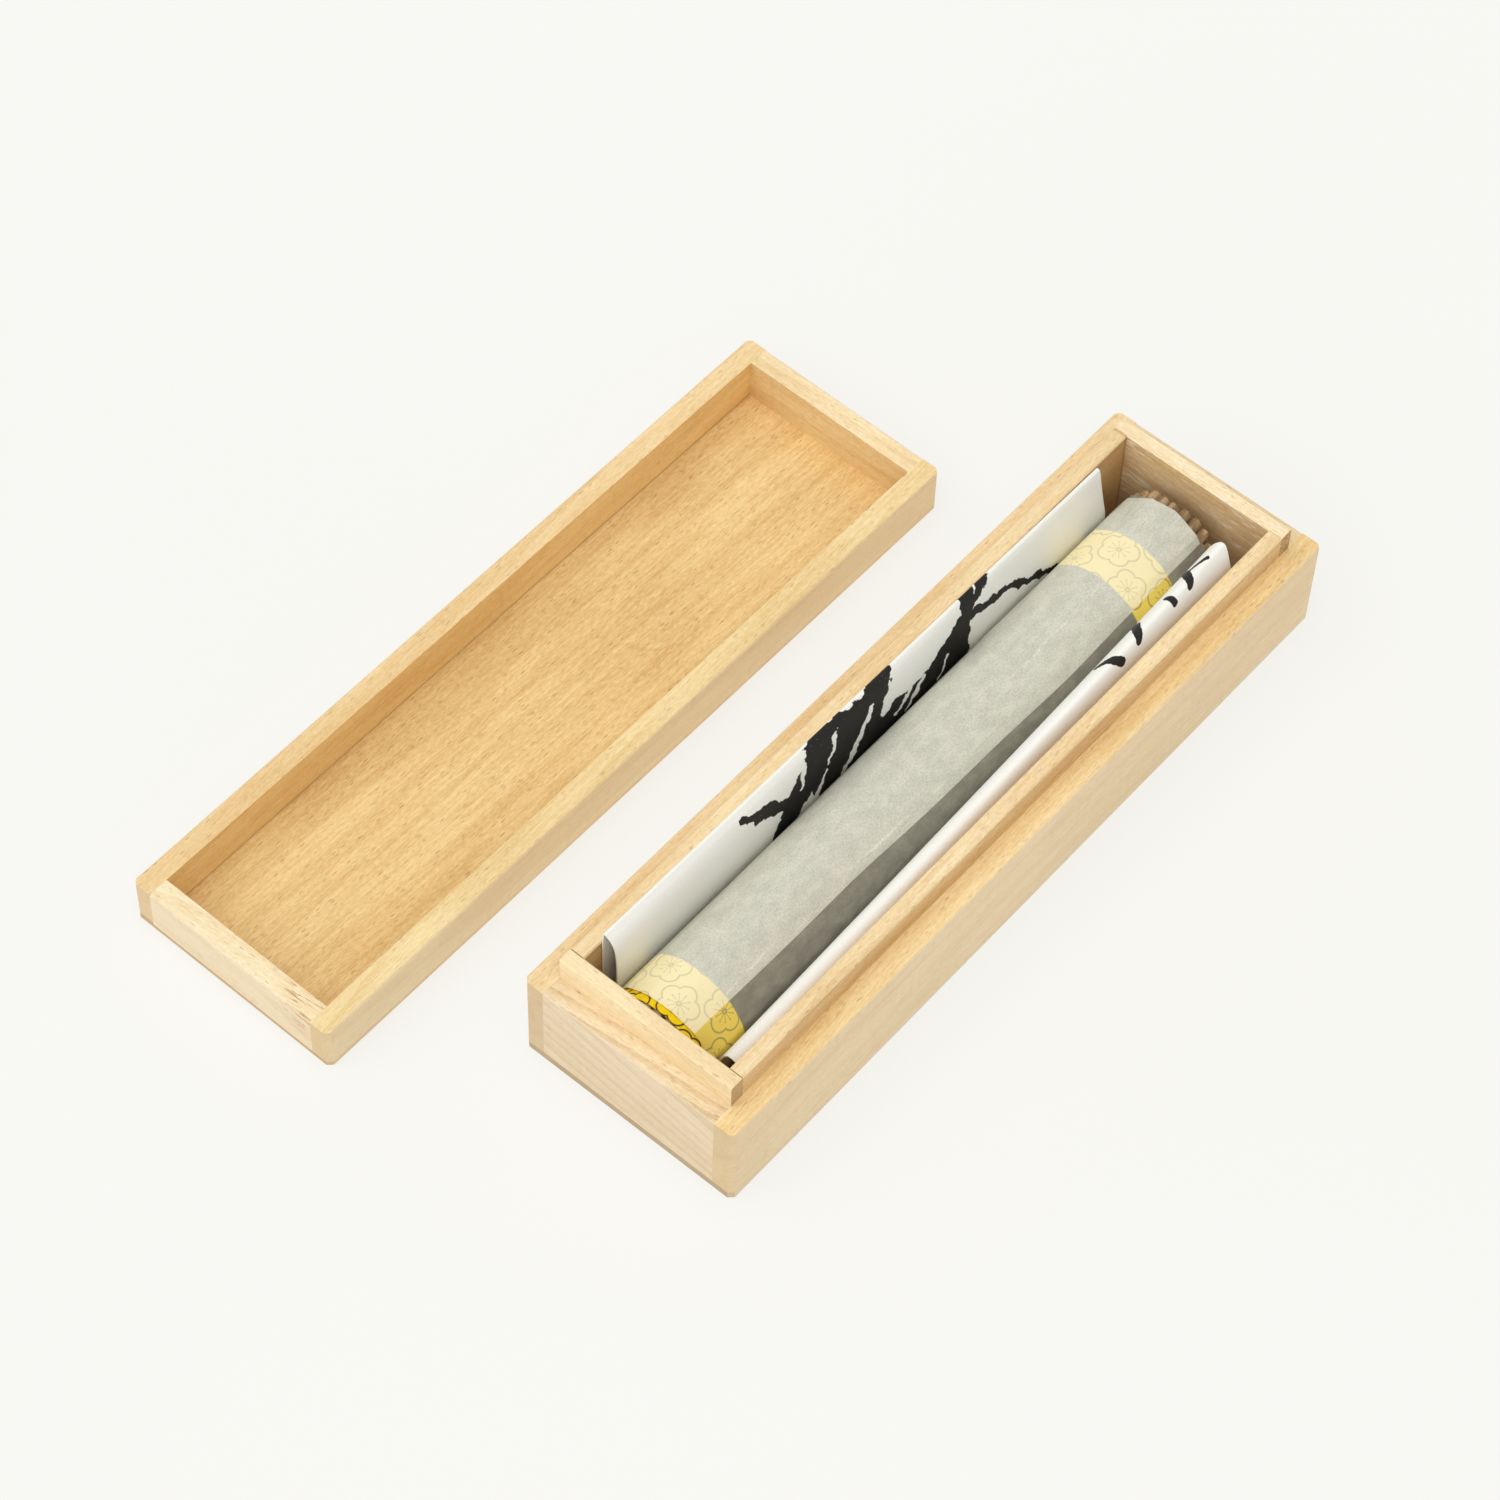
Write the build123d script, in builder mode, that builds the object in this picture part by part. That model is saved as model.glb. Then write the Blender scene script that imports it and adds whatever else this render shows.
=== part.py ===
"""Boxed incense: a slip-lid paulownia box, open, with a wrapped bundle of sticks inside.

Frame: origin on the table under the middle of the box, +Y along the box, +Z up.
The lid lies upside down on the table at the box's left side (-X).
All sizes are in millimetres.
"""
import os
from math import cos, radians, sin

from build123d import *

# Sticks, packed in rings round a middle stick
stick_length = 141.0
stick_diameter = 2.2
stick_gap = 0.08  # between one ring and the next
ring_counts = [6, 12, 18, 24]
stick_end_ease = 0.15

# Paper on the bundle
fit = 0.03  # between one layer of paper and what it is wound on
band = 0.15  # thickness of the two paper bands
band_width = 10.2
near_band_inset = 1.1  # from the near end of the sticks
far_band_inset = 12.0  # from the far end of the sticks
tissue = 0.1  # one layer
tissue_near_inset = 2.7
tissue_far_inset = 2.5
lap_start = 48.0  # degrees from +X, where the outer layer of tissue ends
lap_span = 195.0  # degrees that lie double

# Wrapper: one stiff sheet under the bundle, its two sides standing up as flaps
paper = 0.3
wrapper_near_gap = 4.2  # from the near wall of the box
wrapper_far_gap = 9.4  # from the far wall
bundle_clear = 0.2  # between the bundle and the wrapper
plate_clear = 0.15  # between the wrapper and the bottom plate
wall_clear = 0.35  # between the wrapper and the lining
left_knee = 6.2  # height of each bend above the bundle's middle
left_top_over_lip = 1.3
left_bend = 9.0  # bend radii
right_knee = 9.8
right_crest_over_lip = 0.3
right_edge_drop = 4.2  # how far the right flap's edge hangs below its crest
right_bend = 1.1

# Room that the box leaves round the bundle
left_room = 3.9
right_room = 6.5
near_room = 0.7
far_room = 3.9
head_room = 2.7  # from the top of the bundle to the top of the lip

# Box: four outer boards on a thin plate, and a lining that stands up as a lip
wall = 4.3  # outer boards; their tops are the ledge that the lid sits on
plate = 1.9  # bottom plate, under the boards
lining = 2.9  # lining boards
lip_rise = 5.5  # how far the lining stands above the ledge

# Lid: a frame of four boards round a thin panel, upside down beside the box
lid_height = 10.6
lid_panel = 1.2
lid_fit = 0.15  # clearance between the lip and the inside of the lid, on each side
lid_gap = 20.7  # from the box's side to the lid's side, at the middle of the lid
lid_along = -25.1  # where the middle of the lid lies along the box
lid_turn = -0.52  # degrees, as it was laid down

# Easings
corner_ease = 0.9  # chamfer down the outer corners
edge_ease = 0.25  # chamfer along the other outer edges

# Bundle, worked out from the inside outwards
stick_radius = stick_diameter / 2
ring_pitch = stick_diameter + stick_gap
sticks_radius = len(ring_counts) * ring_pitch + stick_radius
band_radius = sticks_radius + fit
tissue_radius = band_radius + band + fit
bundle_radius = tissue_radius + 2 * tissue
bundle_height = plate + plate_clear + paper + bundle_clear + bundle_radius
bundle_shift = (left_room - right_room) / 2

# Box, worked out from the bundle outwards
inner_width = 2 * bundle_radius + left_room + right_room
inner_length = stick_length + near_room + far_room
lining_width = inner_width + 2 * lining
lining_length = inner_length + 2 * lining
box_width = lining_width + 2 * wall
box_length = lining_length + 2 * wall
lip_top = bundle_height + bundle_radius + head_room
wall_height = lip_top - lip_rise
lid_wall = wall - lid_fit

near_wall = -inner_length / 2
sticks_near = near_wall + near_room
sticks_far = sticks_near + stick_length
wrapper_near = near_wall + wrapper_near_gap
wrapper_far = -near_wall - wrapper_far_gap
print(f"box {box_width:.2f} x {box_length:.2f}, walls {wall_height:.2f}, lip {lip_top:.2f} mm high")

os.makedirs("parts", exist_ok=True)


def save(piece, name):
    """Label a finished piece and write it to its own STEP file."""
    piece.part.label = name
    export_step(piece.part, f"parts/{name}.step")


def across(y, x=0, z=0):
    """Upright plane at y with its middle at (x, z). Extruding on it goes back towards -Y."""
    return Plane(origin=(x, y, z), x_dir=(1, 0, 0), z_dir=(0, -1, 0))


def across_bundle(y):
    """Upright plane at y with its middle on the bundle's axis."""
    return across(y, bundle_shift, bundle_height)


# Bottom plate
with BuildPart() as bottom_plate:
    with BuildSketch():
        Rectangle(box_width, box_length)
    extrude(amount=plate)
    chamfer(bottom_plate.edges().filter_by(Axis.Z), corner_ease)
    chamfer(bottom_plate.faces().sort_by(Axis.Z)[0].edges(), edge_ease)
save(bottom_plate, "bottom_plate")

# Outer boards: the long ones run the whole length, the short ones fit between them
for side, name in ((-1, "left"), (1, "right")):
    with BuildPart() as long_board:
        with BuildSketch(Plane.XY.offset(plate)):
            with Locations((side * (box_width - wall) / 2, 0)):
                Rectangle(wall, box_length)
        extrude(amount=wall_height - plate)
        outer_face = long_board.faces().sort_by(Axis.X)[0 if side < 0 else -1]
        chamfer(outer_face.edges().filter_by(Axis.Z), corner_ease)
        outer_face = long_board.faces().sort_by(Axis.X)[0 if side < 0 else -1]
        chamfer(outer_face.edges().sort_by(Axis.Z)[-1], edge_ease)
    save(long_board, f"long_wall_{name}")

for side, name in ((-1, "near"), (1, "far")):
    with BuildPart() as short_board:
        with BuildSketch(Plane.XY.offset(plate)):
            with Locations((0, side * (box_length - wall) / 2)):
                Rectangle(box_width - 2 * wall, wall)
        extrude(amount=wall_height - plate)
        outer_face = short_board.faces().sort_by(Axis.Y)[0 if side < 0 else -1]
        chamfer(outer_face.edges().sort_by(Axis.Z)[-1], edge_ease)
    save(short_board, f"short_wall_{name}")

# Lining: here the short boards run the whole width, and the long ones fit between them
for side, name in ((-1, "near"), (1, "far")):
    with BuildPart() as short_lining:
        with BuildSketch(Plane.XY.offset(plate)):
            with Locations((0, side * (lining_length - lining) / 2)):
                Rectangle(lining_width, lining)
        extrude(amount=lip_top - plate)
        top_face = short_lining.faces().sort_by(Axis.Z)[-1]
        chamfer(top_face.edges().filter_by(Axis.X), edge_ease)
    save(short_lining, f"short_lining_{name}")

for side, name in ((-1, "left"), (1, "right")):
    with BuildPart() as long_lining:
        with BuildSketch(Plane.XY.offset(plate)):
            with Locations((side * (lining_width - lining) / 2, 0)):
                Rectangle(lining, inner_length)
        extrude(amount=lip_top - plate)
        top_face = long_lining.faces().sort_by(Axis.Z)[-1]
        chamfer(top_face.edges().filter_by(Axis.Y), edge_ease)
    save(long_lining, f"long_lining_{name}")

# Lid, on its own plane on the table
lid_plane = Plane(
    origin=(-box_width - lid_gap, lid_along, 0),
    x_dir=(cos(radians(lid_turn)), sin(radians(lid_turn)), 0),
    z_dir=(0, 0, 1),
)
lid_across = Axis(lid_plane.origin, lid_plane.x_dir)
lid_lengthwise = Axis(lid_plane.origin, lid_plane.y_dir)

with BuildPart() as lid_top:
    with BuildSketch(lid_plane):
        Rectangle(box_width, box_length)
    extrude(amount=lid_panel)
    chamfer(lid_top.edges().filter_by(Axis.Z), corner_ease)
    chamfer(lid_top.faces().sort_by(Axis.Z)[0].edges(), edge_ease)
save(lid_top, "lid_panel")

for side, name in ((-1, "left"), (1, "right")):
    with BuildPart() as lid_long:
        with BuildSketch(lid_plane.offset(lid_panel)):
            with Locations((side * (box_width - lid_wall) / 2, 0)):
                Rectangle(lid_wall, box_length)
        extrude(amount=lid_height - lid_panel)
        outer_face = lid_long.faces().sort_by(lid_across)[0 if side < 0 else -1]
        chamfer(outer_face.edges().filter_by(Axis.Z), corner_ease)
        outer_face = lid_long.faces().sort_by(lid_across)[0 if side < 0 else -1]
        chamfer(outer_face.edges().sort_by(Axis.Z)[-1], edge_ease)
    save(lid_long, f"lid_long_wall_{name}")

for side, name in ((-1, "near"), (1, "far")):
    with BuildPart() as lid_short:
        with BuildSketch(lid_plane.offset(lid_panel)):
            with Locations((0, side * (box_length - lid_wall) / 2)):
                Rectangle(box_width - 2 * lid_wall, lid_wall)
        extrude(amount=lid_height - lid_panel)
        outer_face = lid_short.faces().sort_by(lid_lengthwise)[0 if side < 0 else -1]
        chamfer(outer_face.edges().sort_by(Axis.Z)[-1], edge_ease)
    save(lid_short, f"lid_short_wall_{name}")


# Sticks
def sticks(centres):
    """Sticks at these places about the bundle's axis, as one group of separate solids."""
    with BuildPart() as group:
        with BuildSketch(across_bundle(sticks_far)):
            with Locations(*centres):
                Circle(stick_radius)
        extrude(amount=stick_length)
        chamfer(group.edges().filter_by(GeomType.CIRCLE), stick_end_ease)
    return group


def ring_centres(ring, count):
    """Centres of one ring, evenly spaced, each ring turned by half a step from the last."""
    step = 360 / count
    turns = [radians(step * (k + ring / 2)) for k in range(count)]
    reach = ring * ring_pitch
    return [(reach * cos(a), reach * sin(a)) for a in turns]


save(sticks([(0, 0)]), "stick_middle")
for ring, count in enumerate(ring_counts[:-1], start=1):
    save(sticks(ring_centres(ring, count)), f"sticks_ring_{ring}")
for number, centre in enumerate(ring_centres(len(ring_counts), ring_counts[-1]), start=1):
    save(sticks([centre]), f"outer_stick_{number:02d}")

# Two paper bands wound on the sticks
for name, band_far in (
    ("near", sticks_near + near_band_inset + band_width),
    ("far", sticks_far - far_band_inset),
):
    with BuildPart() as paper_band:
        with BuildSketch(across_bundle(band_far)):
            Circle(band_radius + band)
            Circle(band_radius, mode=Mode.SUBTRACT)
        extrude(amount=band_width)
    save(paper_band, f"paper_band_{name}")

# Tissue: one turn over the bands, and a second layer over part of the first
tissue_far = sticks_far - tissue_far_inset
tissue_length = tissue_far - sticks_near - tissue_near_inset
with BuildPart() as tissue_wrap:
    with BuildSketch(across_bundle(tissue_far)):
        Circle(tissue_radius + tissue)
        with BuildLine():
            PolarLine((0, 0), bundle_radius, lap_start)
            lap_arc = CenterArc((0, 0), bundle_radius, lap_start, lap_span)
            Line(lap_arc @ 1, (0, 0))
        make_face()
        Circle(tissue_radius, mode=Mode.SUBTRACT)
    extrude(amount=tissue_length)
save(tissue_wrap, "tissue_wrap")

# Wrapper: down the left flap, round under the bundle, up the right flap and over
sheet_radius = bundle_radius + bundle_clear + paper / 2
left_side = bundle_shift - sheet_radius
right_side = bundle_shift + sheet_radius
flap_reach = inner_width / 2 - wall_clear - paper / 2
left_top = lip_top + left_top_over_lip
crest = lip_top + right_crest_over_lip
crest_place = (right_side + flap_reach) / 2
with BuildPart() as printed_wrapper:
    with BuildSketch(across(wrapper_far)):
        with BuildLine():
            FilletPolyline(
                (-flap_reach, left_top),
                (left_side, bundle_height + left_knee),
                (left_side, bundle_height),
                radius=left_bend,
            )
            CenterArc((bundle_shift, bundle_height), sheet_radius, 180, 180)
            FilletPolyline(
                (right_side, bundle_height),
                (right_side, bundle_height + right_knee),
                (crest_place, crest),
                (flap_reach, crest - right_edge_drop),
                radius=right_bend,
            )
        trace(line_width=paper)
    extrude(amount=wrapper_far - wrapper_near)
save(printed_wrapper, "printed_wrapper")
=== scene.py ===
# %% [markdown]
# # A boxed bundle of incense sticks
# A small box of pale paulownia wood stands open beside its lid. Inside lies a round bundle of
# sixty-one incense sticks, held by two yellow paper bands, rolled in grey tissue and cradled in a
# printed wrapper whose two flaps stand up beside it. The boards come from the CAD frame as they
# are. Everything soft or thin is made here, in the same frame and in metres.

import math

import bpy
import numpy as np
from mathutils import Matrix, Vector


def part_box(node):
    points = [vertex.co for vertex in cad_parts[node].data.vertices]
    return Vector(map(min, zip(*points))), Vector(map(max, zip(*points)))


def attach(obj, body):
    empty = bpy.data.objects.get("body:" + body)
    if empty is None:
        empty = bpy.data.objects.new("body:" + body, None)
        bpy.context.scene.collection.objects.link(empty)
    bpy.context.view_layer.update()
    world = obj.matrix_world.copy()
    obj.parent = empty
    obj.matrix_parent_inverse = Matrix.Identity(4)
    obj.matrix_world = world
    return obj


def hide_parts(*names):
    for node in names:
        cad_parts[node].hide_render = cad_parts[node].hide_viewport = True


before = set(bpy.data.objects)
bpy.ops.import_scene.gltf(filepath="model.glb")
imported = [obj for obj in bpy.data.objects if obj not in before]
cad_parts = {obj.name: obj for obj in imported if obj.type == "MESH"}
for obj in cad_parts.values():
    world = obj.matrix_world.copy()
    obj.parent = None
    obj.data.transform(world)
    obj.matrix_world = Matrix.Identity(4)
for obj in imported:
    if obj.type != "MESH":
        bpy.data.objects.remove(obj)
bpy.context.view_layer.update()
MM = 0.001

# %% [markdown]
# ## Camera
# A product picture of a long box is taken from high up with a long lens, so that the far end
# looks hardly smaller than the near end. The camera stands about 0.84 m away and is tipped a
# little, which sets the box on a diagonal.

# %% Camera
CAMERA_PLACE = (0.26509, -0.38144, 0.70302)
CAMERA_TURN = (34.157, -1.233, 40.549)
LENS = 115.36
SENSOR = 36.0


def set_camera():
    """Makes the camera at CAMERA_PLACE, turned by the XYZ Euler angles CAMERA_TURN in degrees."""
    data = bpy.data.cameras.new("camera")
    data.lens, data.sensor_width = LENS, SENSOR
    data.clip_start, data.clip_end = 0.01, 20.0
    camera = bpy.data.objects.new("camera", data)
    camera.location = CAMERA_PLACE
    camera.rotation_euler = [math.radians(a) for a in CAMERA_TURN]
    bpy.context.scene.collection.objects.link(camera)
    bpy.context.scene.camera = camera
    return camera


camera = set_camera()
print("camera at", tuple(round(c, 3) for c in camera.location), "lens", LENS)

# %% [markdown]
# ## Nodes in few words
# Every finish here is a node graph, and a graph is easier to read when each step is one line.
# These helpers add one node, link what is a socket, set what is a number, and give back the
# socket that comes out. The commonest sums have short names of their own.


# %% Helpers for node graphs
def feed(tree, socket, value):
    """Links value into the socket if value is a socket, and otherwise sets it."""
    if isinstance(value, bpy.types.NodeSocket):
        tree.links.new(value, socket)
    else:
        socket.default_value = value


def add(tree, kind, inputs=(), **settings):
    """Adds a shader node of that kind. inputs is a dict from input name or number to value."""
    made = tree.nodes.new("ShaderNode" + kind)
    for name, value in settings.items():
        setattr(made, name, value)
    for name, value in dict(inputs).items():
        feed(tree, made.inputs[name], value)
    return made


def maths(tree, operation, *values):
    """One Math node: out = operation(values)."""
    return add(tree, "Math", dict(enumerate(values)), operation=operation).outputs[0]


def times(tree, a, b):
    """a * b."""
    return maths(tree, "MULTIPLY", a, b)


def plus(tree, a, b):
    """a + b."""
    return maths(tree, "ADD", a, b)


def minus(tree, a, b):
    """a - b."""
    return maths(tree, "SUBTRACT", a, b)


def greatest(tree, a, b):
    """The greater of a and b."""
    return maths(tree, "MAXIMUM", a, b)


def least_of(tree, a, b):
    """The lesser of a and b."""
    return maths(tree, "MINIMUM", a, b)


def vectors(tree, operation, *values):
    """One Vector Math node that gives a vector."""
    made = add(tree, "VectorMath", dict(enumerate(values)), operation=operation)
    return made.outputs["Vector"]


def stretch(tree, vector, factors):
    """The vector with each part times its own factor. Small factors draw a pattern out."""
    return vectors(tree, "MULTIPLY", vector, factors)


def length(tree, vector):
    """The length of a vector."""
    return add(tree, "VectorMath", {0: vector}, operation="LENGTH").outputs["Value"]


def dot(tree, a, b):
    """The dot product of two vectors."""
    return add(tree, "VectorMath", {0: a, 1: b}, operation="DOT_PRODUCT").outputs["Value"]


def split(tree, vector):
    """The x, y and z of a vector."""
    made = add(tree, "SeparateXYZ", {0: vector})
    return [made.outputs[k] for k in range(3)]


def join(tree, x=0.0, y=0.0, z=0.0):
    """The vector (x, y, z)."""
    return add(tree, "CombineXYZ", {0: x, 1: y, 2: z}).outputs[0]


def ease(tree, value, low, high, out_low=0.0, out_high=1.0):
    """Smoothstep: out_low below low, out_high above high, and a smooth S between."""
    names = ("Value", "From Min", "From Max", "To Min", "To Max")
    inputs = dict(zip(names, (value, low, high, out_low, out_high)))
    return add(tree, "MapRange", inputs, interpolation_type="SMOOTHSTEP").outputs[0]


def blend(tree, factor, a, b, mode="MIX"):
    """Colour a where factor is 0 and b (or a combined with b by mode) where it is 1."""
    inputs = {"Factor": factor, "A": a, "B": b}
    made = add(tree, "Mix", inputs, data_type="RGBA", blend_type=mode, clamp_factor=False)
    return made.outputs["Result"]


def noise(tree, vector, scale, detail=2.0, roughness=0.5):
    """Smooth noise about 0.5, with that many bumps per unit of vector."""
    values = {"Vector": vector, "Scale": scale, "Detail": detail, "Roughness": roughness}
    return add(tree, "TexNoise", values).outputs[0]


def new_material(name):
    """An empty node material and its Principled shader."""
    material = bpy.data.materials.new(name)
    material.use_nodes = True
    tree = material.node_tree
    return material, tree, tree.nodes["Principled BSDF"]


def new_group(name, inputs, outputs):
    """An empty node group: inputs and outputs are (name, socket kind, default) rows."""
    tree = bpy.data.node_groups.new(name, "ShaderNodeTree")
    for side, rows in (("INPUT", inputs), ("OUTPUT", outputs)):
        for label, kind, *default in rows:
            made = tree.interface.new_socket(label, in_out=side, socket_type="NodeSocket" + kind)
            if default:
                made.default_value = default[0]
    return tree, tree.nodes.new("NodeGroupInput"), tree.nodes.new("NodeGroupOutput")


def bumped(tree, shader, height, depth, strength=1.0):
    """Feeds a Bump node into the shader: height 0 to 1 stands for 0 to depth metres."""
    made = add(tree, "Bump", {"Strength": strength, "Distance": depth, "Height": height})
    tree.links.new(made.outputs[0], shader.inputs["Normal"])


def finish(tree, shader, base, roughness, specular):
    """The shader's colour and roughness, from sockets or as numbers, and its specular level."""
    feed(tree, shader.inputs["Base Color"], base)
    feed(tree, shader.inputs["Roughness"], roughness)
    shader.inputs["Specular IOR Level"].default_value = specular


def colour(red, green, blue):
    """A colour given as a screen shows it, 0 to 255, as the linear one that shaders take."""
    shown = np.array([red, green, blue]) / 255.0
    linear = np.where(shown <= 0.04045, shown / 12.92, ((shown + 0.055) / 1.055) ** 2.4)
    return (*[float(c) for c in linear], 1.0)


# %% [markdown]
# ## Paulownia
# Paulownia is the pale, light wood of nearly every small gift box of this kind. It shows soft
# growth rings, fine silky fibres and short dark pores, all along the grain. A picture stretched
# over each face would break at the edges, so the wood is a solid pattern instead: rings are
# cylinders round a pith line, fibres and pores are noise drawn out along it, and a board is cut
# from that block. Faces across the grain then show rings and dots, as end grain does.


# %% The wood as one node group
USUAL_WOOD = {"Ring Width": 5.0, "Ring Depth": 0.28, "Fibre Depth": 0.62, "Pore Depth": 0.38}
STREAK_SHARE, THREAD_SHARE, GRIT_SHARE = 0.6, 0.6, 0.75
PORE_BROWN, SAWN_BROWN, SAWN_SHARE = colour(150, 108, 62), colour(172, 146, 110), 0.14


def paulownia_group():
    """Colour, roughness and height of the wood at a point P (mm) whose x runs along the grain.
    ring = fract(sqrt(y^2 + z^2) / ring width + wobble); pores = cells drawn out 7.5 : 1 along x.
    shade = mix(pale, deep, ring + streaks + cloud), then pores and sawn end grain over it."""
    inputs = [("Point", "Vector"), ("Cross Cut", "Float"), ("Pale", "Color"), ("Deep", "Color")]
    inputs += [(label, "Float", usual) for label, usual in USUAL_WOOD.items()]
    outputs = [("Color", "Color"), ("Roughness", "Float"), ("Height", "Float")]
    tree, given, out = new_group("paulownia", inputs, outputs)
    point = given.outputs["Point"]
    # Rings about the pith, wavering slowly, each darker towards its end.
    slow = noise(tree, stretch(tree, point, (0.012, 0.09, 0.09)), 1.0, 2.0)
    wobble = times(tree, minus(tree, slow, 0.5), 2.2)
    _, y, z = split(tree, point)
    reach = length(tree, join(tree, 0.0, y, z))
    turns = maths(tree, "DIVIDE", reach, given.outputs["Ring Width"])
    ring = maths(tree, "FRACT", plus(tree, turns, wobble))
    late = ease(tree, ring, 0.35, 0.95)
    late = times(tree, late, ease(tree, ring, 0.95, 1.0, 1.0, 0.0))

    # Silky fibres, hairs, dust and broad clouds, each drawn out along the grain by its own share.
    fibre = noise(tree, stretch(tree, point, (0.05, 1.0, 1.0)), 1.3, 4.0, 0.65)
    hair = noise(tree, stretch(tree, point, (0.08, 1.0, 1.0)), 4.2, 2.0, 0.6)
    dust = noise(tree, stretch(tree, point, (0.4, 1.0, 1.0)), 2.4, 2.0, 0.7)
    cloud = noise(tree, stretch(tree, point, (0.3, 1.0, 1.0)), 0.09, 1.0)
    # Pores: long cells, of which about a third are open.
    drawn_out = stretch(tree, point, (0.4, 3.0, 3.0))
    cells = add(tree, "TexVoronoi", {"Vector": drawn_out, "Scale": 1.0})
    chosen = ease(tree, split(tree, cells.outputs["Color"])[0], 0.66, 0.74)
    pore = times(tree, ease(tree, cells.outputs["Distance"], 0.14, 0.32, 1.0, 0.0), chosen)
    pore = times(tree, pore, ease(tree, fibre, 0.42, 0.6, 1.0, 0.35))

    streak = ease(tree, fibre, 0.32, 0.68, -0.5, 0.5)
    thread = ease(tree, hair, 0.3, 0.7, -0.5, 0.5)
    depth = times(tree, late, given.outputs["Ring Depth"])
    grit = ease(tree, dust, 0.3, 0.7, -0.5, 0.5)
    streaks = plus(tree, times(tree, streak, STREAK_SHARE), times(tree, thread, THREAD_SHARE))
    streaks = plus(tree, streaks, times(tree, grit, GRIT_SHARE))
    depth = plus(tree, depth, times(tree, streaks, given.outputs["Fibre Depth"]))
    depth = plus(tree, depth, ease(tree, cloud, 0.3, 0.7, 0.0, 0.45))
    depth = least_of(tree, greatest(tree, depth, -0.35), 1.4)
    shade = blend(tree, depth, given.outputs["Pale"], given.outputs["Deep"])
    holes = times(tree, pore, given.outputs["Pore Depth"])
    shade = blend(tree, holes, shade, PORE_BROWN)
    sawn = times(tree, given.outputs["Cross Cut"], SAWN_SHARE)
    shade = blend(tree, sawn, shade, SAWN_BROWN)
    feed(tree, out.inputs["Color"], shade)
    feed(tree, out.inputs["Roughness"], ease(tree, fibre, 0.2, 0.8, 0.58, 0.72))
    relief = minus(tree, times(tree, streaks, 0.3), pore)
    feed(tree, out.inputs["Height"], relief)
    return tree


PAULOWNIA = paulownia_group()
print("paulownia group:", len(PAULOWNIA.nodes), "nodes")

# %% [markdown]
# ## One finish per board
# A box maker saws the boards from different planks, so the grain never runs on across a joint.
# Each board gets its own place in the solid pattern, its own tilt, since a board is never cut
# quite along the trunk, and a slightly different tone. Plates and long boards have their grain
# along Y, short boards along X. A face whose normal lies along the grain is end grain. The outer
# side faces of box and lid are painted greyer and paler than the others, a painted cool light on
# the sides, and the other upright faces are toned by a colour of each board's own, a painted
# shade by which way they face. A fine dark line is painted where two boards meet in a corner,
# partly the joint and partly painted shade in the narrow gap, and a few boards show scratches.


# %% Finish the boards
# Painted light: the grey and its share that pale the outer side faces, standing in for cool side
# light.
PAINTED_SIDE_GREY, PAINTED_SIDE_SHARE = (228, 209, 182), 0.5
MARK_SHARE, JOINT_AND_GAP_SHARE = 0.9, 0.45
# Painted shade and joint: the brown of the dark line where two boards meet, in part the shade in
# the gap.
JOINT_AND_GAP_SHADE = (160, 116, 66)


def scratches(tree, grain_point, place, middle, reach):
    """Fine broken lines along the grain, fading out at reach mm from a middle point in mm."""
    thread = noise(tree, stretch(tree, grain_point, (0.06, 1.0, 1.0)), 1.1, 2.0)
    line = maths(tree, "ABSOLUTE", minus(tree, thread, 0.5))
    line = ease(tree, line, 0.008, 0.03, 1.0, 0.0)
    part = noise(tree, stretch(tree, grain_point, (0.3, 1.0, 1.0)), 0.5, 1.0)
    line = times(tree, line, ease(tree, part, 0.4, 0.52))
    off = vectors(tree, "SUBTRACT", place, [c * MM for c in middle])
    away = length(tree, off)
    return times(tree, line, ease(tree, away, 0.5 * reach * MM, reach * MM, 1.0, 0.0))


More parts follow.
